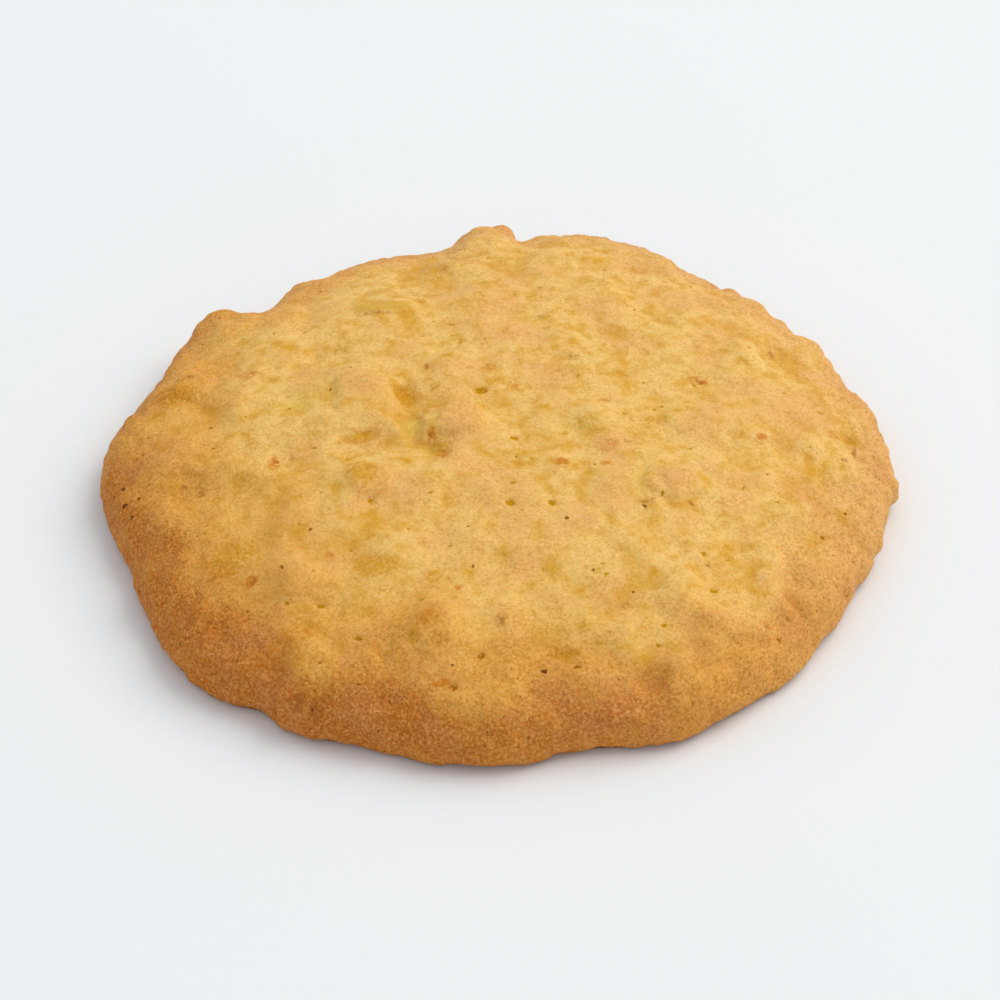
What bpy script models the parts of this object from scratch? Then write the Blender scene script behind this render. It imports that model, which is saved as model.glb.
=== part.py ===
"""An oatmeal drop cookie, baked flat on a tray: one solid piece of food.

A spoonful of oat dough has spread to an uneven round. The top is a low dome, bumpy with clumps of
oats under the crust. The side is short and rounded, and the underside is the flat print of the tray.
Run it with blender --background --python part.py, or from Blender's text editor.
Units are metres, +Z is up, and the origin lies on the tray under the middle of the cookie.
"""

import math
import random

import bmesh
import bpy
from mathutils import Vector, noise

MM = 0.001

# Driving dimensions of the whole cookie
RADIUS = 44.0 * MM  # of the widest line, before its lobes
CROWN_HEIGHT = 12.1 * MM  # tray to the top of the dome
WIDEST_HEIGHT = 2.6 * MM  # tray to the widest line
FOOT_INSET = 1.5 * MM  # how far the flat foot stays inside the widest line

# Form of the dome: (radius share) ** FLATNESS + (height share) ** EDGE_ROUNDING = 1
FLATNESS = 2.6
EDGE_ROUNDING = 2.0

# Mesh density: rings of triangles from the crown to the widest line, and from there to the foot
TOP_RINGS = 38
UNDERCUT_RINGS = 3
RIM_CROWDING = 0.5  # 0 spaces the top's rings evenly, 1 crowds them towards the rim

# Lobes and nicks of the rim: (direction in degrees from +X towards +Y, half width in degrees, reach in mm)
RIM_LOBES = (
    (9, 8, 1.1),
    (15, 3, 0.6),
    (29, 6, 1.0),
    (42, 6, 1.0),
    (60, 3, 0.6),
    (74, 13, 3.7),
    (86, 2.5, -1.2),
    (92, 5, 2.1),
    (102, 5, -1.1),
    (121, 6, -0.5),
    (134, 6, -2.1),
    (143, 3.5, 1.9),
    (148, 4, 0.7),
    (160, 4, -0.4),
    (178, 13, 1.5),
    (198, 6, -0.5),
    (222, 10, 1.5),
    (235.5, 2, -0.7),
    (242, 5, 0.9),
    (252, 4, -0.5),
    (266, 5, 0.2),
    (280, 8, -1.4),
    (297, 9, 0.4),
    (322, 2, 0.3),
    (333, 13, -1.1),
    (359.5, 2.5, 1.1),
)

# Clumps of oats and hollows between them: (x, y, radius, rise), all in mm; a hollow's rise is negative
CLUMPS = (
    (-1.6, 45.5, 4.0, 1.1),  # shoulder at the back
    (-5.4, 42.6, 2.4, 0.4),
    (-34.2, 26.5, 3.2, 1.0),  # knob at the back left
    (-15.3, 5.6, 4.6, 1.1),  # broad clump left of the middle
    (-10.2, 4.2, 2.2, -0.8),
    (-4.8, -1.6, 3.0, 1.1),  # clump with a steep front left face
    (-8.0, -4.2, 2.0, -0.6),
    (-14.6, 21.6, 3.0, 0.5),
    (19.8, -9.4, 3.1, 0.8),  # flat oval clump
    (15.6, -12.4, 2.2, -0.4),
    (-6.5, -31.0, 3.2, 1.0),  # clump over the front rim
    (-36.6, 11.6, 3.2, 0.9),  # ridge on the left shoulder
    (-34.6, 6.8, 2.8, -0.6),
    (-37.4, -3.6, 2.6, 0.7),
    (-34.4, -7.6, 2.6, -0.5),
    (-26.4, -7.4, 2.2, 0.6),
    (-24.6, -5.4, 1.8, -0.6),
    (-14.8, -10.6, 2.8, 0.8),
    (-13.6, -13.8, 1.8, -0.4),
    (-8.0, -24.2, 2.6, -0.5),
    (-12.0, -22.0, 3.0, 0.5),
    (22.6, -29.4, 3.2, 0.8),  # ridges and hollows of the front right shoulder
    (30.6, -28.2, 2.8, -0.6),
    (35.6, -21.4, 3.0, 0.7),
    (33.0, -31.0, 2.6, 0.6),
    (19.2, -36.0, 2.4, 0.6),
    (23.4, -34.6, 2.6, -0.5),
    (15.4, -37.6, 2.6, -0.5),
    (10.6, -37.4, 2.4, 0.6),
    (36.0, 3.2, 2.8, 0.6),
    (38.6, 0.6, 2.4, -0.5),
    (41.0, -3.2, 2.2, 0.7),
    (42.0, 7.6, 2.6, 0.6),
    (-22.5, -22.0, 3.4, 0.6),
    (-19.0, -27.0, 2.0, -0.4),
    (-26.5, 24.0, 3.4, 0.5),
    (-28.0, 15.0, 3.6, 0.6),
    (-22.6, 12.6, 2.4, -0.5),
    (8.0, 14.0, 3.4, 0.4),
    (28.5, -14.0, 3.6, 0.4),
)

# Oat flakes under the crust, scattered at random
FLAKE_COUNT = 130
FLAKE_LENGTH = (4.0 * MM, 7.0 * MM)
FLAKE_WIDTH_SHARE = 0.62
FLAKE_RISE = (0.2 * MM, 0.5 * MM)
FLAKE_SEED = 27

# Slow swell and finer knobbliness of the crust: (wavelength, height)
SWELL = (15.0 * MM, 0.45 * MM)
KNOBBLES = (5.0 * MM, 0.35 * MM)

CRUST_COLOUR = (0.62, 0.33, 0.08, 1.0)
CRUST_ROUGHNESS = 0.7


def clear_scene():
    """Removes what the startup file brings."""
    for obj in list(bpy.data.objects):
        bpy.data.objects.remove(obj, do_unlink=True)


def rim_radius(direction):
    """Distance from the middle to the widest line, for a direction in radians."""
    reach = RADIUS
    for centre, half_width, lobe_reach in RIM_LOBES:
        turn = (math.degrees(direction) - centre + 180.0) % 360.0 - 180.0
        reach += lobe_reach * MM * math.exp(-((turn / half_width) ** 2))
    return reach


def dome_height(share):
    """Height of the plain dome at this share of the way from the middle to the widest line."""
    height_share = max(0.0, 1.0 - share**FLATNESS) ** (1.0 / EDGE_ROUNDING)
    return WIDEST_HEIGHT + (CROWN_HEIGHT - WIDEST_HEIGHT) * height_share


def dome_point(x, y):
    """The point of the plain dome over this spot of the tray."""
    share = min(1.0, math.hypot(x, y) / rim_radius(math.atan2(y, x)))
    return Vector((x, y, dome_height(share)))


def scatter_flakes():
    """Oat flakes as (middle, long axis, length, rise), spread evenly over the dome."""
    draw = random.Random(FLAKE_SEED)
    flakes = []
    for _ in range(FLAKE_COUNT):
        direction = draw.uniform(-math.pi, math.pi)
        distance = rim_radius(direction) * math.sqrt(draw.random())
        middle = dome_point(distance * math.cos(direction), distance * math.sin(direction))
        heading = draw.uniform(0.0, math.pi)
        long_axis = Vector((math.cos(heading), math.sin(heading), 0.0))
        flakes.append((middle, long_axis, draw.uniform(*FLAKE_LENGTH), draw.uniform(*FLAKE_RISE)))
    return flakes


def relief(point, clumps, flakes):
    """How far the crust stands out from the plain dome at this point."""
    rise = 0.0
    for wavelength, height in (SWELL, KNOBBLES):
        rise += height * noise.noise(point / wavelength)
    for middle, radius, clump_rise in clumps:
        rise += clump_rise * math.exp(-((point - middle).length_squared / radius**2))
    for middle, long_axis, length, flake_rise in flakes:
        offset = point - middle
        if offset.length_squared < length**2:
            along = offset.dot(long_axis)
            across_squared = offset.length_squared - along**2
            spread = (2 * along / length) ** 2
            spread += across_squared * (2 / (length * FLAKE_WIDTH_SHARE)) ** 2
            rise += flake_rise * math.exp(-(spread**2))
    return rise


def lay_top(mesh):
    """Shapes a hexagon of small triangles into the dome, from the crown out to the widest line."""
    bmesh.ops.create_circle(mesh, cap_ends=True, cap_tris=True, segments=6, radius=1.0)
    bmesh.ops.subdivide_edges(mesh, edges=mesh.edges, cuts=TOP_RINGS - 1, use_grid_fill=True)
    side_distance = math.cos(math.radians(30.0))
    turns = [math.radians(60.0 * side) for side in range(6)]
    side_normals = [Vector((math.cos(turn), math.sin(turn), 0.0)) for turn in turns]
    for vertex in mesh.verts:
        direction = math.atan2(vertex.co.y, vertex.co.x)
        share = max(vertex.co.dot(normal) for normal in side_normals) / side_distance
        share += RIM_CROWDING * (math.sin(share * math.pi / 2.0) - share)
        distance = rim_radius(direction) * share
        vertex.co = (distance * math.cos(direction), distance * math.sin(direction), dome_height(share))


def raise_relief(mesh):
    """Pushes the crust out along its own slope by the height of the clumps, flakes and swell."""
    clumps = [(dome_point(x * MM, y * MM), radius * MM, rise * MM) for x, y, radius, rise in CLUMPS]
    flakes = scatter_flakes()
    mesh.normal_update()
    moved = [vertex.co + vertex.normal * relief(vertex.co, clumps, flakes) for vertex in mesh.verts]
    for vertex, place in zip(mesh.verts, moved):
        vertex.co = place


def roll_under(mesh):
    """Carries the widest line down and inwards to the tray in rings, and closes the flat foot."""
    edge_loop = [edge for edge in mesh.edges if edge.is_boundary]
    turns = [math.radians(90.0) * ring / UNDERCUT_RINGS for ring in range(UNDERCUT_RINGS + 1)]
    for last_turn, turn in zip(turns, turns[1:]):
        inset = FOOT_INSET * (math.cos(last_turn) - math.cos(turn))
        fall = (1.0 - math.sin(turn)) / (1.0 - math.sin(last_turn))
        ring = bmesh.ops.extrude_edge_only(mesh, edges=edge_loop)["geom"]
        for vertex in (element for element in ring if isinstance(element, bmesh.types.BMVert)):
            outward = Vector((vertex.co.x, vertex.co.y, 0.0)).normalized()
            vertex.co -= outward * inset
            vertex.co.z *= fall
        edges = [element for element in ring if isinstance(element, bmesh.types.BMEdge)]
        edge_loop = [edge for edge in edges if edge.is_boundary]
    bmesh.ops.holes_fill(mesh, edges=edge_loop, sides=0)


def crust_material():
    """Baked crust: golden brown and matt."""
    material = bpy.data.materials.new("crust")
    material.use_nodes = True
    shader = material.node_tree.nodes["Principled BSDF"]
    shader.inputs["Base Color"].default_value = CRUST_COLOUR
    shader.inputs["Roughness"].default_value = CRUST_ROUGHNESS
    shader.inputs["Metallic"].default_value = 0.0
    material.diffuse_color = CRUST_COLOUR
    return material


def bake_cookie():
    """Builds the cookie as one closed mesh and links it in a collection of its own."""
    shape = bmesh.new()
    lay_top(shape)
    raise_relief(shape)
    roll_under(shape)
    bmesh.ops.recalc_face_normals(shape, faces=shape.faces)
    mesh = bpy.data.meshes.new("cookie")
    shape.to_mesh(mesh)
    shape.free()
    mesh.shade_smooth()
    mesh.materials.append(crust_material())
    collection = bpy.data.collections.new("oatmeal_cookie")
    bpy.context.scene.collection.children.link(collection)
    collection.objects.link(bpy.data.objects.new("cookie", mesh))


clear_scene()
bake_cookie()
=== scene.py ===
"""Looks of the oatmeal cookie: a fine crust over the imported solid, its bake, and a plain studio.

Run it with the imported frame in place. All is in metres, +Z up, with the cookie lying on Z = 0.
"""

import math
import random

import bmesh
import bpy
import numpy as np
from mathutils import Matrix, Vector, noise
from mathutils.bvhtree import BVHTree
from mathutils.kdtree import KDTree


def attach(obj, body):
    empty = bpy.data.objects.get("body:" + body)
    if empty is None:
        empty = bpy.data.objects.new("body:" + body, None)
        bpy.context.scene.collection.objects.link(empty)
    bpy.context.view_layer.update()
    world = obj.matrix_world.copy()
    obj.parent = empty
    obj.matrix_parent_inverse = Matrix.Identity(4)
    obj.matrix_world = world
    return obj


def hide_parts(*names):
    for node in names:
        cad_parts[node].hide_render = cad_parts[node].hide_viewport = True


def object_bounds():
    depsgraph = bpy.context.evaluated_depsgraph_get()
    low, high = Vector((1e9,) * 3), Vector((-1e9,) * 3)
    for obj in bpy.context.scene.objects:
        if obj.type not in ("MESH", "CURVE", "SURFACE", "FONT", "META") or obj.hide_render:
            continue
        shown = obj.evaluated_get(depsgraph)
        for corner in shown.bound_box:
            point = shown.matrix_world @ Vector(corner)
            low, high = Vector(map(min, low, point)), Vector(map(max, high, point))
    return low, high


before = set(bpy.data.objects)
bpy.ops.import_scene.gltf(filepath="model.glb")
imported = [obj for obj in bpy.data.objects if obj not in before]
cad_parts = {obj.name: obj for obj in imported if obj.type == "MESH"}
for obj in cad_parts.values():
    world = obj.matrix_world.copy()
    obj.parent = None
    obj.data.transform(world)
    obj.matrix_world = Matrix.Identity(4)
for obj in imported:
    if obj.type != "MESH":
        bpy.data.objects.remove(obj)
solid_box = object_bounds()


# ---- Dough ---------------------------------------------------------------------------------------
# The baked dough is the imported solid. A copy of it, with its loose triangles joined and rounded, is
# what the crust is laid on. Only its surface is kept, as a guide: the copy itself is no piece.

MM = 0.001
WELD_DISTANCE = 0.002 * MM
ROUNDING_LEVELS = 2
WIDEST_HEIGHT = 2.6 * MM  # from the tray to the line where the cookie is widest
LOOKOUT_HEIGHT = 1.0  # from where the dough's top is looked for, straight down

dough_form = bmesh.new()
dough_form.from_mesh(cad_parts["cookie"].data)
bmesh.ops.remove_doubles(dough_form, verts=dough_form.verts, dist=WELD_DISTANCE)
dough_mesh = bpy.data.meshes.new("dough")
dough_form.to_mesh(dough_mesh)
dough_form.free()
dough = bpy.data.objects.new("dough", dough_mesh)
bpy.context.scene.collection.objects.link(dough)
rounding = dough.modifiers.new("rounding", "SUBSURF")
rounding.levels = ROUNDING_LEVELS
rounding.render_levels = ROUNDING_LEVELS
dough_surface = BVHTree.FromObject(dough, bpy.context.evaluated_depsgraph_get())
bpy.data.objects.remove(dough)
bpy.data.meshes.remove(dough_mesh)


def rim_reach(direction):
    """Distance from the middle axis to the widest line of the dough, for a direction in radians."""
    outward = Vector((math.cos(direction), math.sin(direction), 0.0))
    _, _, _, distance = dough_surface.ray_cast(Vector((0.0, 0.0, WIDEST_HEIGHT)), outward)
    return distance


def dough_top(x, y):
    """The point of the dough's top over this spot of the tray, or the nearest one of its rim."""
    down = Vector((0.0, 0.0, -1.0))
    top, _, _, _ = dough_surface.ray_cast(Vector((x, y, LOOKOUT_HEIGHT)), down)
    return top or dough_surface.find_nearest(Vector((x, y, WIDEST_HEIGHT)))[0]


# ---- Crust: the sheet ----------------------------------------------------------------------------
# The crust is the outside of the bake, thin and dry. It starts as a hexagon of small triangles, is
# wrapped from the crown over the shoulder and under the edge, and is pressed onto the dough. Rings
# drawn inwards from its own edge then close the flat foot.

CRUST_RINGS = 160  # rings of triangles from the crown to the foot
BASE_STEPS = (0.985, 0.97, 0.94, 0.9)  # each ring of the flat foot, as a share of the last one
CROWN_HEIGHT = 12.1 * MM
FOOT_INSET = 1.5 * MM  # how far the foot stays inside the widest line
FLATNESS = 2.6  # exponent of the plain dome: 2 is an ellipse, more is flatter on top
MEAN_REACH = 44.0 * MM
OUTLINE_POINTS = 721
SETTLING_ROUNDS = 3
SETTLING_SHARE = 0.5  # of the way to the middle of its neighbours that a vertex goes in a round

HEXAGON_INRADIUS = math.cos(math.radians(30.0))
HEXAGON_SIDES = [math.radians(60.0 * side) for side in range(6)]
SIDE_NORMALS = [Vector((math.cos(turn), math.sin(turn), 0.0)) for turn in HEXAGON_SIDES]


def polar(vertex):
    """Direction of a hexagon's vertex, and its share of the way from the middle to the edge."""
    share = max(vertex.co.dot(normal) for normal in SIDE_NORMALS) / HEXAGON_INRADIUS
    return math.atan2(vertex.co.y, vertex.co.x), share


# The plain outline from the crown (turn 0) over the widest line (90 degrees) to the foot (180)
turns = np.radians(np.linspace(0.0, 180.0, OUTLINE_POINTS))
over = turns <= np.pi / 2
reach_share = np.where(over, np.sin(turns) ** (2.0 / FLATNESS), 1.0)
inset = np.where(over, 0.0, FOOT_INSET * (1.0 - np.sin(turns)))
dome_height = WIDEST_HEIGHT + (CROWN_HEIGHT - WIDEST_HEIGHT) * np.cos(turns)
height = np.where(over, dome_height, WIDEST_HEIGHT * (1.0 + np.cos(turns)))
steps = np.hypot(np.diff(MEAN_REACH * reach_share - inset), np.diff(height))
length_share = np.concatenate(([0.0], np.cumsum(steps))) / steps.sum()

crust_form = bmesh.new()
bmesh.ops.create_circle(crust_form, cap_ends=True, cap_tris=True, segments=6, radius=1.0)
cuts = CRUST_RINGS - 1
bmesh.ops.subdivide_edges(crust_form, edges=crust_form.edges, cuts=cuts, use_grid_fill=True)
for vertex in crust_form.verts:
    direction, share = polar(vertex)
    reach = rim_reach(direction) * np.interp(share, length_share, reach_share)
    reach -= np.interp(share, length_share, inset)
    level = np.interp(share, length_share, height)
    plain = Vector((reach * math.cos(direction), reach * math.sin(direction), level))
    vertex.co = dough_surface.find_nearest(plain)[0]
for _ in range(SETTLING_ROUNDS):
    bmesh.ops.smooth_vert(
        crust_form,
        verts=crust_form.verts,
        factor=SETTLING_SHARE,
        use_axis_x=True,
        use_axis_y=True,
        use_axis_z=True,
    )

foot_edge = [edge for edge in crust_form.edges if edge.is_boundary]
for vertex in {vertex for edge in foot_edge for vertex in edge.verts}:
    vertex.co.z = 0.0
for step in BASE_STEPS:
    ring = bmesh.ops.extrude_edge_only(crust_form, edges=foot_edge)["geom"]
    for vertex in (element for element in ring if isinstance(element, bmesh.types.BMVert)):
        vertex.co *= step
    edges = [element for element in ring if isinstance(element, bmesh.types.BMEdge)]
    foot_edge = [edge for edge in edges if edge.is_boundary]
bmesh.ops.holes_fill(crust_form, edges=foot_edge, sides=0)
bmesh.ops.recalc_face_normals(crust_form, faces=crust_form.faces)
crust_mesh = bpy.data.meshes.new("crust")
crust_form.to_mesh(crust_mesh)
crust_form.free()


# ---- Crust: lumps, flakes, creases and pits ------------------------------------------------------
# Oat flakes and clumps lie just under the crust and lift it. Steam that got out left small pits,
# and the spreading dough left creases. All of it is pushed in or out of the sheet itself.

CRUMBLE = (  # wavelength of the crust's own unevenness, and its height on the crown and at the rim
    (6.5 * MM, 0.50 * MM, 0.30 * MM),
    (3.4 * MM, 0.20 * MM, 0.30 * MM),
    (1.8 * MM, 0.10 * MM, 0.20 * MM),
    (1.0 * MM, 0.07 * MM, 0.13 * MM),
)
COBBLE_SIZE = 4.6 * MM  # of the clumps whose tops make the rim's outline knobbly
COBBLE_RISE = (0.06 * MM, 0.12 * MM, 0.42 * MM)  # on the crown, and at the rim where least and most
COBBLE_DIRECTION = math.radians(35.0)  # of the knobbliest stretch of the rim
COBBLE_STRETCH = (-0.2, 0.8)  # cosines of the turn from there where it starts and is full
COBBLE_FOLD = 0.75  # width of a fold between two clumps, as a share of their size
COBBLE_LEVEL = 0.6  # height share of a clump that stays level with the sheet
COBBLE_WARP = (3.0 * MM, 1.1 * MM)  # wavelength and reach of the bends in the folds
RIMWARD = (0.66, 0.96)  # shares of the way out where the crown's relief turns into the rim's
SCATTER_FLOOR = 0.4 * WIDEST_HEIGHT  # lowest place of a scattered flake or pit
OVAL_SEARCH = 0.75  # how far round its middle an oval's vertices are looked for, in its lengths
FLAKE_COUNT = 150
FLAKE_LENGTH = (2.6 * MM, 5.6 * MM)
FLAKE_WIDTH_SHARE = (0.5, 0.8)
FLAKE_RISE = (0.06 * MM, 0.2 * MM)
FLAKE_EDGE = (0.6, 1.1)  # shares of its oval between which a scattered flake falls away
PLACED_EDGE = (0.6, 1.2)  # the same for a placed one
PLACED_BEND = (2.6 * MM, 0.5)  # size and reach of the bends in a placed one's outline
PIT_COUNT = 70
PIT_LENGTH = (0.5 * MM, 1.0 * MM)
PIT_WIDTH_SHARE = (0.5, 0.9)
PIT_TURN = 0.6  # spread of the pits' headings round +X, in radians
PIT_EDGE = (0.35, 1.2)  # shares of its oval between which a pit comes up to the sheet
PIT_DEPTH_SHARE = 0.22  # of its length
UNDER_SLOPE = -0.7  # upward part of a normal below which the sheet is underside
CRUST_SEED = 11

# Flakes, clumps and hollows that stand out: (x, y, length, width, heading in degrees, rise), in mm
PLACED_FLAKES = (
    (19.4, -10.4, 6.0, 5.4, 10, 0.45),
    (-15.2, 3.6, 11.0, 6.8, 90, 0.6),
    (-14.3, -10.6, 5.6, 4.8, 0, 0.45),
    (-4.6, -1.2, 7.6, 5.4, 45, 0.6),
    (-6.6, -32.4, 6.6, 5.0, 0, 0.6),
    (0.9, -30.2, 4.4, 3.4, 0, 0.4),
    (9.5, -16.2, 4.6, 4.0, 0, 0.3),
    (23.3, -29.7, 5.6, 2.8, -20, 0.4),
    (29.0, -21.5, 5.0, 3.0, 60, 0.3),
    (12.0, -32.0, 4.6, 3.4, 0, 0.3),
    (-14.0, 21.8, 7.6, 2.8, -3, 0.3),
    (-22.8, 11.2, 5.0, 3.6, 25, 0.35),
    (-20.7, -0.4, 5.2, 4.4, 0, 0.3),
    (-31.1, 22.4, 7.0, 5.0, 30, 0.35),
    (-33.4, 27.4, 4.2, 3.0, 30, 0.5),
    (-42.4, 6.6, 4.0, 2.6, 110, 0.4),
    (-35.6, 9.9, 4.6, 3.4, 25, 0.4),
    (-33.5, -4.6, 4.6, 4.0, 0, 0.4),
    (-21.5, -25.4, 5.6, 4.2, 30, 0.35),
    (12.2, -4.2, 3.6, 3.0, 30, 0.25),
    (-10.2, -0.8, 7.0, 2.8, 100, -0.6),
    (-10.9, 5.2, 3.6, 2.6, 90, -0.4),
    (-15.6, -2.6, 4.0, 2.0, 10, -0.4),
    (-12.0, -33.6, 3.6, 2.4, 60, -0.4),
    (26.5, -31.0, 4.6, 2.4, 20, -0.4),
    (16.0, -37.0, 4.6, 2.6, 40, -0.4),
    (-18.6, -26.0, 4.4, 3.4, 40, 0.25),
    (28.4, -8.6, 4.2, 3.0, 60, 0.2),
    (-30.6, -3.2, 4.0, 3.4, 0, 0.25),
    (14.6, 20.2, 4.6, 3.2, 15, 0.2),
    (-7.6, 33.4, 5.0, 3.4, 10, 0.2),
    (0.3, 45.8, 3.0, 2.6, 0, 0.25),
    (-1.8, 45.6, 2.4, 3.0, 90, -0.25),
)

# Creases as (x, y, x, y, width, depth), all in mm
CREASES = (
    (31.5, -24.4, 34.8, -27.6, 0.8, 0.5),
    (24.2, -33.6, 21.0, -35.6, 0.8, 0.35),
    (16.4, -37.2, 13.8, -39.4, 0.8, 0.3),
    (-8.2, -4.6, -6.2, -6.0, 0.7, 0.4),
    (-11.4, 5.6, -9.4, 2.6, 0.9, 0.4),
    (-36.4, 8.0, -33.6, 5.6, 0.8, 0.35),
    (39.4, 2.0, 40.6, -1.4, 0.7, 0.4),
    (17.0, -8.6, 18.8, -12.2, 0.6, 0.2),
    (16.4, -8.0, 20.4, -7.2, 0.5, 0.15),
    (-25.0, -38.4, -23.6, -36.0, 0.6, 0.5),
    (2.4, 46.6, 2.8, 43.6, 1.1, 0.6),
    (18.4, -13.2, 22.4, -11.6, 0.5, 0.2),
    (-14.0, -26.6, -11.8, -27.0, 0.35, 0.15),
    (10.6, -18.6, 11.4, -15.4, 0.5, 0.15),
)

# The larger steam holes as (x, y, length, width, heading in degrees), in mm
STEAM_HOLES = (
    (-2.1, 5.4, 2.0, 1.1, 12),
    (-23.7, 2.9, 1.0, 0.7, 35),
    (-20.8, -4.1, 1.0, 0.5, -10),
    (-16.9, -6.6, 1.1, 0.8, 45),
    (-13.9, -13.5, 1.1, 0.8, 0),
    (-16.1, -20.8, 0.9, 0.5, 10),
    (-7.5, -12.9, 1.1, 0.6, 20),
    (1.6, -3.2, 1.2, 0.9, 0),
    (1.5, -11.0, 0.9, 0.7, 0),
    (1.0, -13.9, 1.5, 1.2, 0),
    (5.5, -13.7, 1.2, 1.0, 0),
    (8.8, -0.6, 0.8, 0.7, 0),
    (13.9, 1.6, 1.0, 0.5, 10),
    (-3.5, -17.8, 0.9, 0.6, 0),
    (26.6, -9.8, 0.9, 0.7, 70),
    (36.7, 5.5, 1.0, 0.8, 0),
    (21.9, -21.2, 1.0, 0.9, 0),
    (22.8, -25.8, 1.2, 0.8, 15),
    (11.0, -23.0, 0.9, 0.7, 0),
    (11.5, -24.7, 0.8, 0.7, 0),
    (8.0, -36.1, 1.0, 0.8, 0),
    (-2.0, -35.3, 1.2, 1.1, 30),
    (-4.9, -39.1, 1.1, 1.0, 20),
    (-15.0, -33.0, 0.9, 0.8, 0),
    (17.2, -31.0, 0.9, 0.8, 0),
    (16.7, -33.6, 0.8, 0.7, 0),
    (22.8, 30.1, 0.9, 0.7, 0),
    (-22.6, -27.5, 0.9, 0.6, 0),
    (-18.9, -27.9, 1.1, 0.9, 0),
    (35.5, -14.8, 0.9, 0.7, 0),
)

count = len(crust_mesh.vertices)
places = np.empty(count * 3)
crust_mesh.vertices.foreach_get("co", places)
places = places.reshape(-1, 3)
normals = np.empty(count * 3)
crust_mesh.vertex_normals.foreach_get("vector", normals)
normals = normals.reshape(-1, 3)
nearby = KDTree(count)
for index, place in enumerate(places):
    nearby.insert(place, index)
nearby.balance()


def soft_step(low, high, value):
    """0 below low, 1 above high, and a smooth rise between them."""
    share = np.clip((value - low) / (high - low), 0.0, 1.0)
    return share * share * (3.0 - 2.0 * share)


def around(centre, radius):
    """Indices of the crust's vertices within this radius, and their offsets from the centre."""
    found = [index for _, index, _ in nearby.find_range(centre, radius)]
    return found, places[found] - np.array(centre)


def oval(index, heading, length, width):
    """Vertices round this one, and where each lies in an oval on the crust: 1 is its edge."""
    across_crust = Vector(normals[index])
    along = Vector((math.cos(heading), math.sin(heading), 0.0))
    along = (along - across_crust * along.dot(across_crust)).normalized()
    across = across_crust.cross(along)
    found, offsets = around(places[index], length * OVAL_SEARCH)
    long_share = offsets @ np.array(along) * 2 / length
    wide_share = offsets @ np.array(across) * 2 / width
    return found, np.hypot(long_share, wide_share)


def cobble(place):
    """Height share of the clump at this place: 0 in the fold round it, and 1 on its top."""
    bend = noise.noise_vector(place / COBBLE_WARP[0]) * COBBLE_WARP[1]
    distances, _ = noise.voronoi((place + bend) / COBBLE_SIZE)
    fold = min(1.0, (distances[1] - distances[0]) / COBBLE_FOLD)
    return 1.0 - (1.0 - fold) ** 2


directions = np.arctan2(places[:, 1], places[:, 0])
circle = np.radians(np.arange(-180.0, 181.0, 1.0))
reaches = np.interp(directions, circle, [rim_reach(direction) for direction in circle])
way_out = np.hypot(places[:, 0], places[:, 1]) / reaches
rimward = soft_step(*RIMWARD, way_out)

noise.seed_set(CRUST_SEED)  # noise_vector, which bends the folds, starts from the clock without it
draw = random.Random(CRUST_SEED)
top_vertices = np.flatnonzero(places[:, 2] > SCATTER_FLOOR)
rise = np.zeros(count)
for wavelength, *heights in CRUMBLE:
    waves = np.array([noise.noise(Vector(place) / wavelength) for place in places])
    rise += waves * (heights[0] + (heights[1] - heights[0]) * rimward)
cobbles = np.array([cobble(Vector(place)) for place in places]) - COBBLE_LEVEL
crown_rise, smooth_rise, knobbly_rise = COBBLE_RISE
knobbly = soft_step(*COBBLE_STRETCH, np.cos(directions - COBBLE_DIRECTION))
rim_rise = smooth_rise + (knobbly_rise - smooth_rise) * knobbly
rise += cobbles * (crown_rise + (rim_rise - crown_rise) * rimward)
for _ in range(FLAKE_COUNT):
    length = draw.uniform(*FLAKE_LENGTH)
    width = length * draw.uniform(*FLAKE_WIDTH_SHARE)
    found, distance = oval(draw.choice(top_vertices), draw.uniform(0.0, math.pi), length, width)
    rise[found] += draw.uniform(*FLAKE_RISE) * (1.0 - soft_step(*FLAKE_EDGE, distance))
for x, y, length, width, heading, flake_rise in PLACED_FLAKES:
    _, middle, _ = nearby.find(dough_top(x * MM, y * MM))
    found, distance = oval(middle, math.radians(heading), length * MM, width * MM)
    bends = np.array([noise.noise(Vector(place) / PLACED_BEND[0]) for place in places[found]])
    distance = distance * (1.0 + PLACED_BEND[1] * bends)
    rise[found] += flake_rise * MM * (1.0 - soft_step(*PLACED_EDGE, distance))
for x0, y0, x1, y1, crease_width, crease_depth in CREASES:
    start = dough_top(x0 * MM, y0 * MM)
    run = dough_top(x1 * MM, y1 * MM) - start
    found, offsets = around(start + run * 0.5, run.length + 2.0 * crease_width * MM)
    offsets = offsets + np.array(run) * 0.5
    along = np.clip(offsets @ np.array(run) / run.length_squared, 0.0, 1.0)
    distance = np.linalg.norm(offsets - along[:, None] * np.array(run), axis=1)
    rise[found] -= crease_depth * MM * np.exp(-((distance / (crease_width * MM)) ** 2))

holes = []
for x, y, length, width, heading in STEAM_HOLES:
    _, middle, _ = nearby.find(dough_top(x * MM, y * MM))
    holes.append((middle, math.radians(heading), length * MM, width * MM))
for _ in range(PIT_COUNT):
    length = draw.triangular(*PIT_LENGTH, PIT_LENGTH[0])
    width = length * draw.uniform(*PIT_WIDTH_SHARE)
    holes.append((draw.choice(top_vertices), draw.gauss(0.0, PIT_TURN), length, width))
pits = np.zeros(count)
for middle, heading, length, width in holes:
    found, distance = oval(middle, heading, length, width)
    hollow = 1.0 - soft_step(*PIT_EDGE, distance)
    rise[found] -= length * PIT_DEPTH_SHARE * hollow
    pits[found] = np.maximum(pits[found], hollow)

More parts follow.
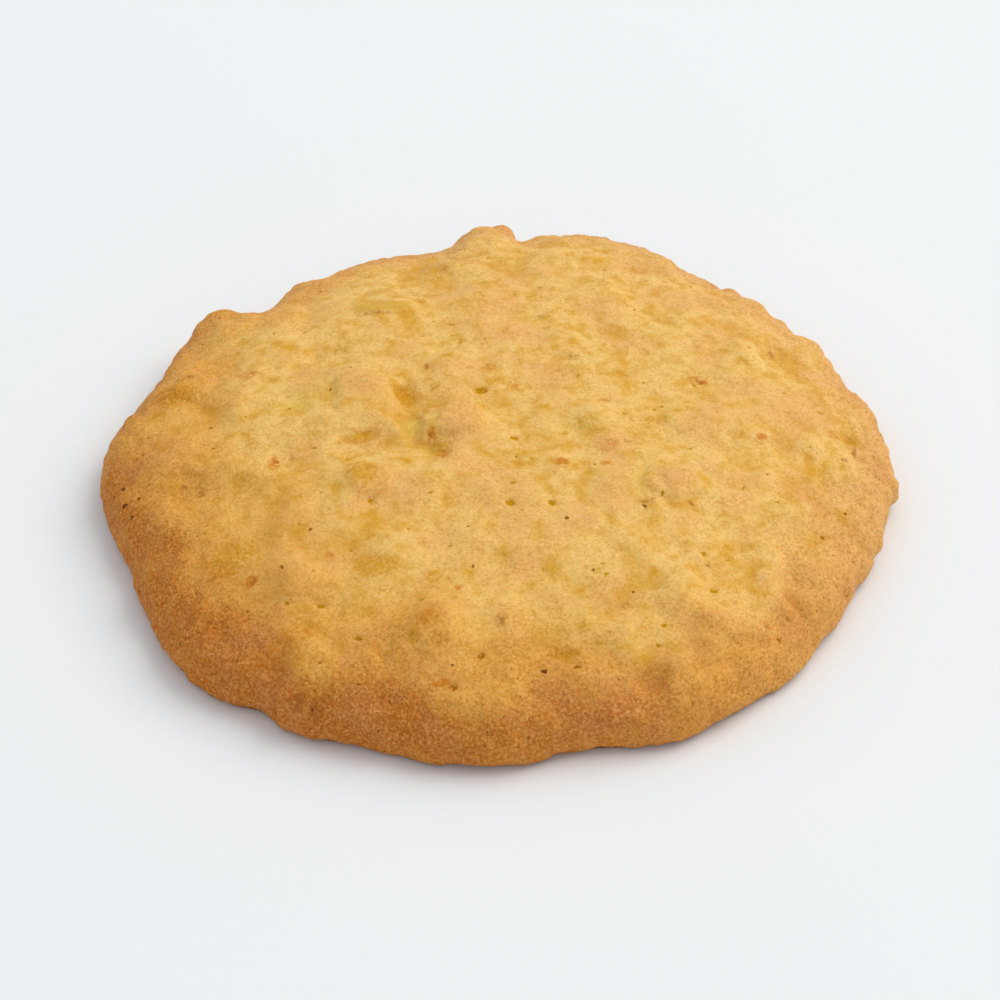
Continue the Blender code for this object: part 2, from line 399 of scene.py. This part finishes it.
under = normals[:, 2] < UNDER_SLOPE
rise[under] = np.minimum(rise[under], 0.0)
finished = np.clip(places + normals * rise[:, None], *solid_box)
finished[places[:, 2] <= 0.0, 2] = 0.0  # the foot stays flat on the tray
crust_mesh.vertices.foreach_set("co", finished.ravel())


# ---- Crust: the bake -----------------------------------------------------------------------------
# The crown stays pale gold. The rim browned most at the front and left, and the underside where it
# lay on the tray. How far each spot browned is kept with the sheet, for its finish to read.

BROWNEST_DIRECTION = math.radians(225.0)
BROWNING = (0.5, 0.5)  # mean browning of the rim, and how much it changes round the cookie
EDGE_FALL = (1.8 * MM, 8.0 * MM)  # how far below the crown the rim's brown begins and is full
BROWN_REACH = 1.3 * MM  # how much higher the brown climbs where the rim browned most
TOASTED_DIRECTION = math.radians(215.0)
TOAST_START = (0.66, 0.28)  # share of the way out where the crown turns tan, and its change
TOAST_WIDTH = 0.5
PATCH_SIZE = 8.0 * MM
PATCH_CLIMB = 1.6 * MM  # how much the rim's brown goes up or down from patch to patch
PATCH_SHIFT = 0.16  # how much the tan goes out or in from patch to patch
TRAY_TURN = (0.3, 0.9)  # downward part of a normal where the tray's brown begins and is full
TRAY_HEIGHT = 1.2 * MM  # highest place that the tray browned
MARK_FADE = 2.5  # exponent of a mark's fall to its edge: more is sharper


def keep(name, values):
    """Stores one number for each vertex of the crust, for the material to read."""
    crust_mesh.attributes.new(name, "FLOAT", "POINT").data.foreach_set("value", values)


patches = np.array([noise.noise(Vector(place) / PATCH_SIZE) for place in places])
browning = BROWNING[0] + BROWNING[1] * np.cos(directions - BROWNEST_DIRECTION)
fall = CROWN_HEIGHT - places[:, 2] + patches * PATCH_CLIMB + browning * BROWN_REACH
toast_start = TOAST_START[0] - TOAST_START[1] * np.cos(directions - TOASTED_DIRECTION)
keep("browning", browning)
keep("edge", soft_step(*EDGE_FALL, fall))
keep("toast", soft_step(toast_start, toast_start + TOAST_WIDTH, way_out + PATCH_SHIFT * patches))
keep("pits", pits)
keep("rise", rise / MM)
keep("underside", soft_step(*TRAY_TURN, -normals[:, 2]) * (places[:, 2] < TRAY_HEIGHT))

# Marks as (x, y, length, width, heading in degrees, strength), sizes in mm
REDDISH = (
    (6.8, -7.3, 1.8, 1.4, 15, 1.0),
    (11.6, -7.5, 1.2, 0.9, 0, 0.9),
    (12.2, -4.4, 3.0, 2.4, 30, 0.4),
    (29.3, -1.1, 1.3, 1.0, 20, 1.0),
    (-26.6, -24.1, 1.4, 1.4, 0, 1.0),
    (-6.2, -38.4, 1.9, 0.8, 10, 1.0),
    (-6.3, -33.8, 2.6, 2.2, 0, 0.5),
    (22.7, 8.6, 2.8, 1.8, -20, 0.6),
    (-1.3, 9.4, 2.4, 2.6, 0, 0.45),
    (1.5, 6.7, 1.9, 2.4, 0, 0.45),
    (11.8, 3.8, 1.8, 1.4, 0, 0.45),
    (-18.2, -21.8, 1.5, 1.8, 0, 0.45),
    (-28.9, 10.0, 3.4, 3.2, 0, 0.5),
    (-25.0, -6.2, 1.7, 3.2, 0, 0.6),
    (-7.5, -3.2, 1.3, 2.8, 15, 0.6),
    (-6.4, -5.9, 3.0, 1.3, -40, 0.5),
    (-7.4, -31.8, 3.6, 3.0, 0, 0.5),
    (-22.0, -32.5, 9.0, 6.0, 40, 0.4),
    (-30.0, -22.0, 8.0, 5.0, 130, 0.35),
    (-37.5, 9.0, 6.0, 4.0, 0, 0.35),
    (5.8, -27.9, 1.6, 1.6, 0, 0.35),
    (-4.3, -26.9, 1.2, 1.3, 0, 0.5),
    (24.1, 17.6, 1.7, 1.8, 0, 0.35),
    (34.6, -3.0, 2.2, 1.5, 0, 0.4),
    (37.8, 1.5, 1.8, 2.0, 0, 0.5),
)
BROWN = (
    (22.9, 8.3, 1.2, 0.9, -20, 0.7),
    (31.6, 16.0, 2.4, 0.7, 100, 0.8),
    (40.2, 0.7, 1.8, 0.7, 80, 0.7),
    (8.1, 11.9, 3.4, 1.5, -15, 0.4),
    (4.7, 19.9, 3.0, 1.3, 5, 0.35),
    (-19.2, -39.2, 1.6, 1.6, 0, 0.7),
    (-20.8, -38.2, 2.0, 1.8, 0, 0.6),
    (-26.3, -24.2, 0.9, 1.3, 0, 0.6),
    (-24.6, -6.0, 0.7, 2.2, 0, 0.5),
    (-14.6, 20.5, 6.4, 0.5, -3, 0.5),
    (0.2, -31.1, 1.6, 1.8, 0, 0.5),
    (13.2, -28.6, 1.1, 1.3, 0, 0.5),
    (-5.5, -40.4, 1.8, 2.0, 0, 0.4),
    (-8.3, 9.6, 2.0, 0.6, 85, 0.6),
    (-6.5, 31.4, 1.9, 0.6, 10, 0.4),
    (14.2, -3.4, 1.2, 0.9, 0, 0.5),
    (-35.1, -7.1, 1.2, 1.2, 0, 0.5),
    (-33.0, -8.5, 1.8, 1.2, 60, 0.6),
    (-36.1, 11.2, 2.8, 1.3, 25, 0.5),
    (-9.3, 23.4, 1.6, 1.3, 0, 0.4),
    (38.6, -2.1, 1.0, 0.9, 0, 0.6),
    (16.1, -13.3, 1.8, 1.2, 0, 0.5),
    (30.9, -26.5, 1.2, 0.7, -30, 0.5),
    (28.4, -28.3, 1.2, 0.8, 0, 0.5),
    (11.5, -32.3, 2.0, 1.5, 0, 0.35),
    (-7.8, -3.2, 1.8, 0.6, 105, 0.5),
    (-6.5, -6.2, 1.9, 0.5, -40, 0.35),
    (-21.5, 29.0, 1.3, 0.7, 70, 0.5),
    (10.8, 35.4, 1.9, 0.7, 0, 0.4),
    (-14.3, -9.6, 1.8, 1.8, 0, 0.3),
    (20.9, -13.0, 1.5, 0.5, 120, 0.7),
    (14.8, 0.4, 1.0, 0.4, -45, 0.6),
    (22.4, -22.3, 1.0, 0.5, 0, 0.7),
    (-33.0, -27.5, 1.4, 1.2, 0, 0.5),
)
OATS = (
    (-14.0, 21.8, 7.2, 2.3, -3, 1.0),
)
OCHRE = (
    (-17.9, 14.6, 3.8, 1.9, 10, 0.5),
    (-10.9, 5.0, 2.6, 3.2, 0, 1.0),
    (-7.3, 5.9, 1.9, 1.5, 30, 0.6),
    (-8.3, 1.2, 0.9, 2.6, 15, 0.7),
    (-15.6, -2.2, 3.6, 1.8, 15, 0.6),
    (-7.2, -25.0, 2.2, 2.4, 0, 0.6),
    (-25.8, 8.8, 1.7, 1.6, 0, 0.5),
    (-11.7, 16.2, 1.7, 1.7, 0, 0.4),
    (-10.9, 11.8, 1.7, 2.0, 0, 0.4),
    (-2.3, 24.5, 2.0, 1.6, 0, 0.5),
    (10.8, 27.6, 2.2, 1.1, 0, 0.5),
    (15.6, -12.4, 2.2, 1.6, 60, 0.5),
    (-9.0, -33.4, 1.4, 3.0, 0, 0.6),
    (-22.5, -21.8, 1.6, 1.6, 0, 0.4),
    (-30.6, -22.0, 2.6, 2.4, 0, 0.4),
    (-13.0, -23.5, 6.5, 4.0, 0, 0.6),
    (-15.2, -9.8, 3.6, 4.8, 20, 0.8),
    (-6.6, -5.2, 3.0, 3.0, 0, 0.6),
    (6.7, -34.6, 3.4, 1.2, 3, 1.0),
    (-28.0, -8.6, 4.4, 4.0, 0, 0.4),
    (-29.0, -20.0, 6.0, 6.0, 0, 0.6),
    (-37.0, 8.4, 5.0, 4.0, 0, 0.7),
)
GREENISH = (
    (-9.8, -1.2, 3.4, 4.6, 0, 0.9),
    (-23.0, 3.4, 6.0, 3.4, 10, 0.7),
    (-8.0, -5.2, 2.4, 2.0, 0, 0.6),
    (-19.2, 5.0, 3.0, 2.4, 0, 0.5),
    (2.0, -14.0, 6.0, 4.0, 0, 0.4),
    (14.0, -9.6, 5.0, 4.0, 0, 0.4),
    (9.0, -1.0, 7.0, 3.0, 5, 0.4),
)
ROSY = (
    (19.0, -9.7, 4.6, 4.2, 10, 0.9),
    (9.5, -16.4, 3.0, 3.0, 0, 0.6),
    (-15.3, 5.4, 3.8, 4.6, 0, 0.4),
    (-14.1, -9.8, 2.8, 2.8, 0, 0.6),
    (-4.8, -2.2, 3.6, 3.6, 0, 0.6),
    (23.3, -29.7, 3.4, 1.4, 0, 0.8),
    (-22.6, 11.0, 3.0, 2.4, 20, 0.4),
    (40.1, -3.4, 0.9, 1.0, 0, 1.0),
)
FLECKS = (
    (-2.8, -23.6, 0.5, 0.5, 0, 1.0),
    (9.9, -24.2, 0.5, 0.5, 0, 1.0),
    (14.1, -26.7, 0.7, 0.4, 0, 1.0),
    (4.6, -36.8, 0.5, 0.7, 0, 1.0),
    (-4.9, -36.5, 0.6, 0.4, 0, 1.0),
    (-23.3, -23.7, 0.5, 0.8, 0, 1.0),
    (-32.7, 1.7, 0.5, 0.5, 0, 1.0),
    (-42.3, -4.7, 0.6, 0.8, 0, 1.0),
    (-40.2, -7.4, 0.6, 0.7, 0, 0.8),
    (-41.7, -7.6, 0.7, 0.5, 0, 1.0),
    (-40.8, -9.5, 0.5, 0.5, 0, 1.0),
    (-21.0, -40.3, 0.4, 0.4, 0, 0.5),
    (-19.6, -39.2, 0.5, 0.4, 0, 0.6),
    (-18.6, -38.4, 0.4, 0.4, 0, 0.6),
    (-15.8, -41.3, 0.4, 0.4, 0, 0.6),
    (-19.3, 5.2, 0.5, 0.6, 0, 0.8),
    (-17.0, 9.4, 0.6, 0.5, 0, 0.9),
    (-5.6, 18.3, 0.7, 0.5, 30, 0.8),
    (7.2, -16.5, 0.5, 0.5, 0, 1.0),
    (6.6, 9.3, 0.6, 0.5, 0, 0.7),
    (-20.5, -17.9, 0.6, 0.5, 20, 0.9),
    (15.7, -13.9, 0.9, 0.5, 130, 0.9),
    (16.8, -12.8, 0.8, 0.5, 20, 0.9),
)


def marked(marks):
    """The strength of each mark in its middle, fading to 0 outside it and on the underside."""
    depth = np.zeros(count)
    for x, y, length, width, heading, strength in marks:
        centre = dough_top(x * MM, y * MM)
        along = Vector((math.cos(math.radians(heading)), math.sin(math.radians(heading)), 0.0))
        across = Vector((-along.y, along.x, 0.0))
        found, offsets = around(centre, max(length, width) * MM)
        long_share = offsets @ along * 2 / (length * MM)
        wide_share = offsets @ across * 2 / (width * MM)
        fade = np.exp(-(np.hypot(long_share, wide_share) ** MARK_FADE))
        depth[found] = np.maximum(depth[found], strength * fade)
    return np.where(under, 0.0, depth)


keep("reddish", marked(REDDISH))
keep("brown", marked(BROWN))
keep("oats", marked(OATS))
keep("ochre", marked(OCHRE))
keep("greenish", marked(GREENISH))
keep("rosy", marked(ROSY))
keep("flecks", marked(FLECKS))

crust = bpy.data.objects.new("crust", crust_mesh)
bpy.context.scene.collection.objects.link(crust)
crust_mesh.shade_smooth()
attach(crust, "root")
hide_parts("cookie")


# ---- Crust: the finish ---------------------------------------------------------------------------
# Dry, matt and grainy, with a faint sheen of baked fat and painted glints of light. Golden where it
# is pale, yellower in the hollows and partly painted shade there, orange brown at the rim, with pale
# grains, painted shade between them and in tiny pores, and a few reddish flecks.


class Wire:
    """A shader socket to reckon with: operators add Math nodes, and node() adds any other node."""

    def __init__(self, socket):
        self.socket = socket

    def node(self, kind, settings, inputs, output=0):
        """Adds a node: its settings first, then its inputs, as values or as other wires."""
        tree = self.socket.id_data
        added = tree.nodes.new(kind)
        for name, value in settings.items():
            setattr(added, name, value)
        for name, value in inputs.items():
            if isinstance(value, Wire):
                tree.links.new(value.socket, added.inputs[name])
            else:
                added.inputs[name].default_value = value
        return Wire(added.outputs[output])

    def maths(self, operation, *values):
        return self.node("ShaderNodeMath", {"operation": operation}, dict(enumerate(values)))

    def __add__(self, other):
        return self.maths("ADD", self, other)

    def __sub__(self, other):
        return self.maths("SUBTRACT", self, other)

    def __rsub__(self, other):
        return self.maths("SUBTRACT", other, self)

    def __mul__(self, other):
        return self.maths("MULTIPLY", self, other)

    __radd__ = __add__
    __rmul__ = __mul__

    def ramp(self, low, high):
        """0 where this wire is at low or beyond, 1 at high or beyond, and smooth in between."""
        limits = {"Value": self, "From Min": low, "From Max": high}
        return self.node("ShaderNodeMapRange", {"interpolation_type": "SMOOTHSTEP"}, limits)

    def between(self, low, high, blend="MIX"):
        """The colour low where this wire is 0, and where it is 1 high, or low blended with high."""
        settings = {"data_type": "RGBA", "blend_type": blend}
        return self.node("ShaderNodeMix", settings, {0: self, 6: low, 7: high}, 2)


def paint(red, green, blue):
    """A colour from its eight-bit screen values."""
    values = [value / 255.0 for value in (red, green, blue)]
    return (*[((value + 0.055) / 1.055) ** 2.4 for value in values], 1.0)


PALE_GOLD = paint(247, 202, 120)
DEEP_GOLD = paint(220, 157, 34)
TAN = paint(238, 178, 94)
TOAST_PALE = paint(244, 184, 88)
TOAST_DEEP = paint(216, 138, 22)
RIM_TAN = paint(236, 178, 108)
RIM_ORANGE = paint(229, 160, 72)
RIM_BROWN = paint(199, 118, 38)
RIM_OCHRE = paint(200, 130, 24)
RIM_ROSE = paint(212, 140, 88)
RIM_DEEP = paint(174, 94, 20)
BASE_BROWN = paint(162, 98, 42)
GREEN_GOLD = paint(234, 194, 90)
OAT_GOLD = paint(220, 170, 66)
OCHRE_GOLD = paint(214, 152, 26)
PIT_OLIVE = paint(198, 142, 2)
PIT_BROWN = paint(176, 104, 10)
RED_BROWN = paint(203, 120, 20)
SPOT_BROWN = paint(166, 96, 34)
ROSE = paint(236, 174, 112)
PORE_SHADE_AND_FLECK_OLIVE = paint(140, 88, 0)
PORE_SHADE_AND_FLECK_BROWN = paint(96, 44, 0)
GRAIN_PALE = paint(255, 222, 150)
GRAIN_TAN = paint(240, 184, 104)
GRAIN_SHADE = paint(224, 214, 184)
PAINTED_GLINT = paint(255, 214, 138)

finish = bpy.data.materials.new("baked_crust")
finish.use_nodes = True
shader = finish.node_tree.nodes["Principled BSDF"]
place = Wire(finish.node_tree.nodes.new("ShaderNodeTexCoord").outputs["Object"])


def stored(name):
    """A number that the crust's mesh keeps."""
    return place.node("ShaderNodeAttribute", {"attribute_name": name}, {}, "Fac")


def mottle(size, detail=2.0, roughness=0.5):
    """Soft irregular patches of this size, from 0 to 1."""
    inputs = {"Vector": place, "Scale": 1.0 / size, "Detail": detail, "Roughness": roughness}
    return place.node("ShaderNodeTexNoise", {}, inputs)


def specks(spacing, radius, share):
    """1 in round specks of this radius, on this share of cells of this spacing, and 0 elsewhere."""
    inputs = {"Vector": place, "Scale": 1.0 / spacing}
    distance = place.node("ShaderNodeTexVoronoi", {}, inputs)
    pick = distance.socket.node.outputs["Color"]
    chosen = Wire(pick).ramp(share, share - 0.02)
    return distance.ramp(radius / spacing, 0.4 * radius / spacing) * chosen


def fibres(heading, length, width, share):
    """1 in thin straight fibres of this heading, on this share of their cells, and 0 elsewhere."""
    cell = (2.0 * length, 3.0 * width, 3.0 * width)
    turned = {"Vector": place, "Rotation": (0.0, 0.0, heading), "Scale": cell}
    across = place.node("ShaderNodeMapping", {"vector_type": "TEXTURE"}, turned)
    distance = place.node("ShaderNodeTexVoronoi", {}, {"Vector": across, "Scale": 1.0})
    chosen = Wire(distance.socket.node.outputs["Color"]).ramp(share, share - 0.01)
    return distance.ramp(0.3, 0.16) * chosen


def grains(size):
    """A tone from 0 to 1, even within each grain of this size and another one in the next."""
    cells = place.node("ShaderNodeTexVoronoi", {}, {"Vector": place, "Scale": 1.0 / size})
    return Wire(cells.socket.node.outputs["Color"])


# Patterns from fine to coarse, and what the mesh keeps. Below, a ramp's two limits say where a
# colour begins and is full, and the factor after it how strong the colour gets.
fine_grain = mottle(0.36 * MM, 2.0, 0.7)
crystals = grains(0.27 * MM)
grain = mottle(0.55 * MM, 2.0, 0.6)
crumb = mottle(1.7 * MM, 3.0, 0.55)
clump = mottle(3.2 * MM, 3.0, 0.6)
patch = mottle(7.0 * MM, 2.0)
uneven = (crumb - 0.5) * 1.2 + (clump - 0.5) * 1.8 + (patch - 0.5) * 1.0
broken = grain * 3.2 - 0.6
edge = stored("edge")
raised = stored("rise") + (clump - 0.5) * 0.8
browning = stored("browning") + (patch - 0.5) * 0.4
gritty = clump.ramp(0.32, 0.68) * 0.4 + edge * 0.5 + 0.3
shaded = fine_grain.ramp(0.54, 0.34) * 0.9 + crystals.ramp(0.46, 0.16) * 0.35

# The crown, with its rosy patches, ochre hollows partly of painted shade, and tan lumps
colour = (crumb * 0.6 + clump * 0.4).ramp(0.26, 0.62).between(DEEP_GOLD, PALE_GOLD)
colour = (patch.ramp(0.44, 0.64) * 0.4).between(colour, ROSE)
colour = (mottle(2.4 * MM, 2.0).ramp(0.4, 0.28) * 0.4).between(colour, OCHRE_GOLD)
# Hollows turn ochre: partly less baked dough, partly painted shade that falls in them
colour = (raised.ramp(0.0, -0.5) * 0.6).between(colour, OCHRE_GOLD)
colour = (raised.ramp(0.15, 0.7) * 0.4).between(colour, TAN)
colour = (stored("greenish") * 0.7).between(colour, GREEN_GOLD)
colour = ((stored("rosy") * broken).ramp(0.1, 0.9) * 0.6).between(colour, ROSE)

# The toasted shoulder, the rim and the underside
toasted = (crumb * 0.5 + clump * 0.5).ramp(0.3, 0.64).between(TOAST_DEEP, TOAST_PALE)
colour = ((stored("toast") + uneven * 0.8).ramp(0.0, 1.0) * 0.85).between(colour, toasted)
rim = browning.ramp(0.1, 0.65).between(RIM_TAN, RIM_ORANGE)
rim = (browning * (edge + uneven * 0.4)).ramp(0.52, 1.02).between(rim, RIM_BROWN)
rim = (patch.ramp(0.48, 0.64) * 0.3).between(rim, RIM_ROSE)
rim = ((crumb * 0.5 + clump * 0.5).ramp(0.56, 0.32) * 0.32).between(rim, RIM_DEEP)
colour = (edge + uneven * 0.55).ramp(-0.05, 1.0).between(colour, rim)
ochre_tone = edge.ramp(0.1, 0.8).between(OCHRE_GOLD, RIM_OCHRE)
colour = ((stored("ochre") * broken).ramp(0.1, 0.7) * 0.8).between(colour, ochre_tone)
colour = stored("underside").between(colour, BASE_BROWN)

# Grain, its painted shade and painted glints, then single marks, pits and pores of painted shade
# Painted shade between the crumbs of the grain, stronger at the rim
colour = (shaded * gritty).between(colour, GRAIN_SHADE, "MULTIPLY")
pale_grain = edge.between(GRAIN_PALE, GRAIN_TAN)
colour = (fine_grain.ramp(0.5, 0.72) * gritty * 0.35).between(colour, pale_grain)
# Painted glints: tiny highlights of light on the grains, a little more at the rim
painted_glints = grains(0.18 * MM).ramp(0.6, 1.0) * (edge * 0.1 + 0.16)
colour = painted_glints.between(colour, PAINTED_GLINT)
colour = (stored("oats").ramp(0.3, 0.6) * 0.8).between(colour, OAT_GOLD)
colour = ((stored("reddish") * broken).ramp(0.1, 0.7) * 0.8).between(colour, RED_BROWN)
colour = ((stored("brown") * broken).ramp(0.12, 0.7) * 0.7).between(colour, SPOT_BROWN)
pit_tone = (edge * 1.4).ramp(0.1, 0.9).between(PIT_OLIVE, PIT_BROWN)
colour = (stored("pits") * broken).ramp(0.35, 0.7).between(colour, pit_tone)
# Pores are specks of painted shade in tiny holes, stronger at the rim; the fibres and flecks are dark
# bran and spots
pore_shade = specks(1.0 * MM, 0.17 * MM, 0.5) * (edge * 0.5 + 0.2)
threads = fibres(0.5, 1.3 * MM, 0.13 * MM, 0.012) + fibres(1.9, 1.1 * MM, 0.13 * MM, 0.012)
dark = (pore_shade + threads * 0.6 + (stored("flecks") * broken).ramp(0.3, 0.65)).ramp(0.0, 1.0)
colour = (dark * 0.95).between(colour, edge.between(PORE_SHADE_AND_FLECK_OLIVE, PORE_SHADE_AND_FLECK_BROWN))

# The grain felt by the light
depth = (grain * 0.6 + fine_grain * 0.4) * (edge * 0.5 + 0.8) - dark * 0.3
tooth = {"Height": depth, "Strength": 0.8, "Distance": 0.25 * MM}
bump = depth.node("ShaderNodeBump", {}, tooth, "Normal")
sheen = 0.72 - fine_grain * 0.25
for name, wire in (("Base Color", colour), ("Roughness", sheen), ("Normal", bump)):
    finish.node_tree.links.new(wire.socket, shader.inputs[name])
shader.inputs["Specular IOR Level"].default_value = 0.08
shader.inputs["Subsurface Weight"].default_value = 0.08
shader.inputs["Subsurface Radius"].default_value = (1.0, 0.5, 0.2)
shader.inputs["Subsurface Scale"].default_value = 0.8 * MM
crust_mesh.materials.append(finish)


# ---- Studio --------------------------------------------------------------------------------------
# A plain pale table, a large soft light from the right and a little behind, and light all round.

FLOOR_SIZE = 3.0
TABLE_GAP = 0.02 * MM  # keeps the table's top from lying in the same plane as the cookie's foot
TABLE_WHITE = paint(243, 244, 246)
ROOM_COLOUR = (0.91, 0.955, 1.0, 1.0)
ROOM_STRENGTH = 0.67
LIGHT_PLACE = Vector((1.05, 0.5, 1.4))
LIGHT_SIZE = 1.5
LIGHT_POWER = 18.5
LIGHT_COLOUR = (1.0, 0.97, 0.885)
TARGET = Vector((0.0, -5.5 * MM, 5.0 * MM))
CAMERA_HEIGHT_ANGLE = math.radians(40.0)
FRAME_WIDTH = 112.0 * MM  # what the camera takes in at the target
LENS = 120.0
SENSOR = 36.0

floor_form = bmesh.new()
bmesh.ops.create_grid(floor_form, x_segments=1, y_segments=1, size=FLOOR_SIZE / 2)
floor_mesh = bpy.data.meshes.new("table")
floor_form.to_mesh(floor_mesh)
floor_form.free()
floor = bpy.data.objects.new("table", floor_mesh)
floor.location.z = -TABLE_GAP
bpy.context.scene.collection.objects.link(floor)
table_top = bpy.data.materials.new("table_top")
table_top.use_nodes = True
table_shader = table_top.node_tree.nodes["Principled BSDF"]
table_shader.inputs["Base Color"].default_value = TABLE_WHITE
table_shader.inputs["Roughness"].default_value = 0.9
table_shader.inputs["Specular IOR Level"].default_value = 0.1
floor_mesh.materials.append(table_top)

world = bpy.data.worlds.new("room")
world.use_nodes = True
world.node_tree.nodes["Background"].inputs["Color"].default_value = ROOM_COLOUR
world.node_tree.nodes["Background"].inputs["Strength"].default_value = ROOM_STRENGTH
bpy.context.scene.world = world

softbox = bpy.data.lights.new("right_light", "AREA")
softbox.size = LIGHT_SIZE
softbox.energy = LIGHT_POWER
softbox.color = LIGHT_COLOUR
right_light = bpy.data.objects.new("right_light", softbox)
right_light.location = LIGHT_PLACE
right_light.rotation_euler = LIGHT_PLACE.to_track_quat("Z", "Y").to_euler()
bpy.context.scene.collection.objects.link(right_light)

lens = bpy.data.cameras.new("camera")
lens.lens = LENS
lens.sensor_width = SENSOR
lens.clip_start = 0.01
camera = bpy.data.objects.new("camera", lens)
away = Vector((0.0, -math.cos(CAMERA_HEIGHT_ANGLE), math.sin(CAMERA_HEIGHT_ANGLE)))
camera.location = TARGET + away * FRAME_WIDTH * LENS / SENSOR
camera.rotation_euler = (math.radians(90.0) - CAMERA_HEIGHT_ANGLE, 0.0, 0.0)
bpy.context.scene.collection.objects.link(camera)
bpy.context.scene.camera = camera
bpy.context.scene.view_settings.view_transform = "Standard"
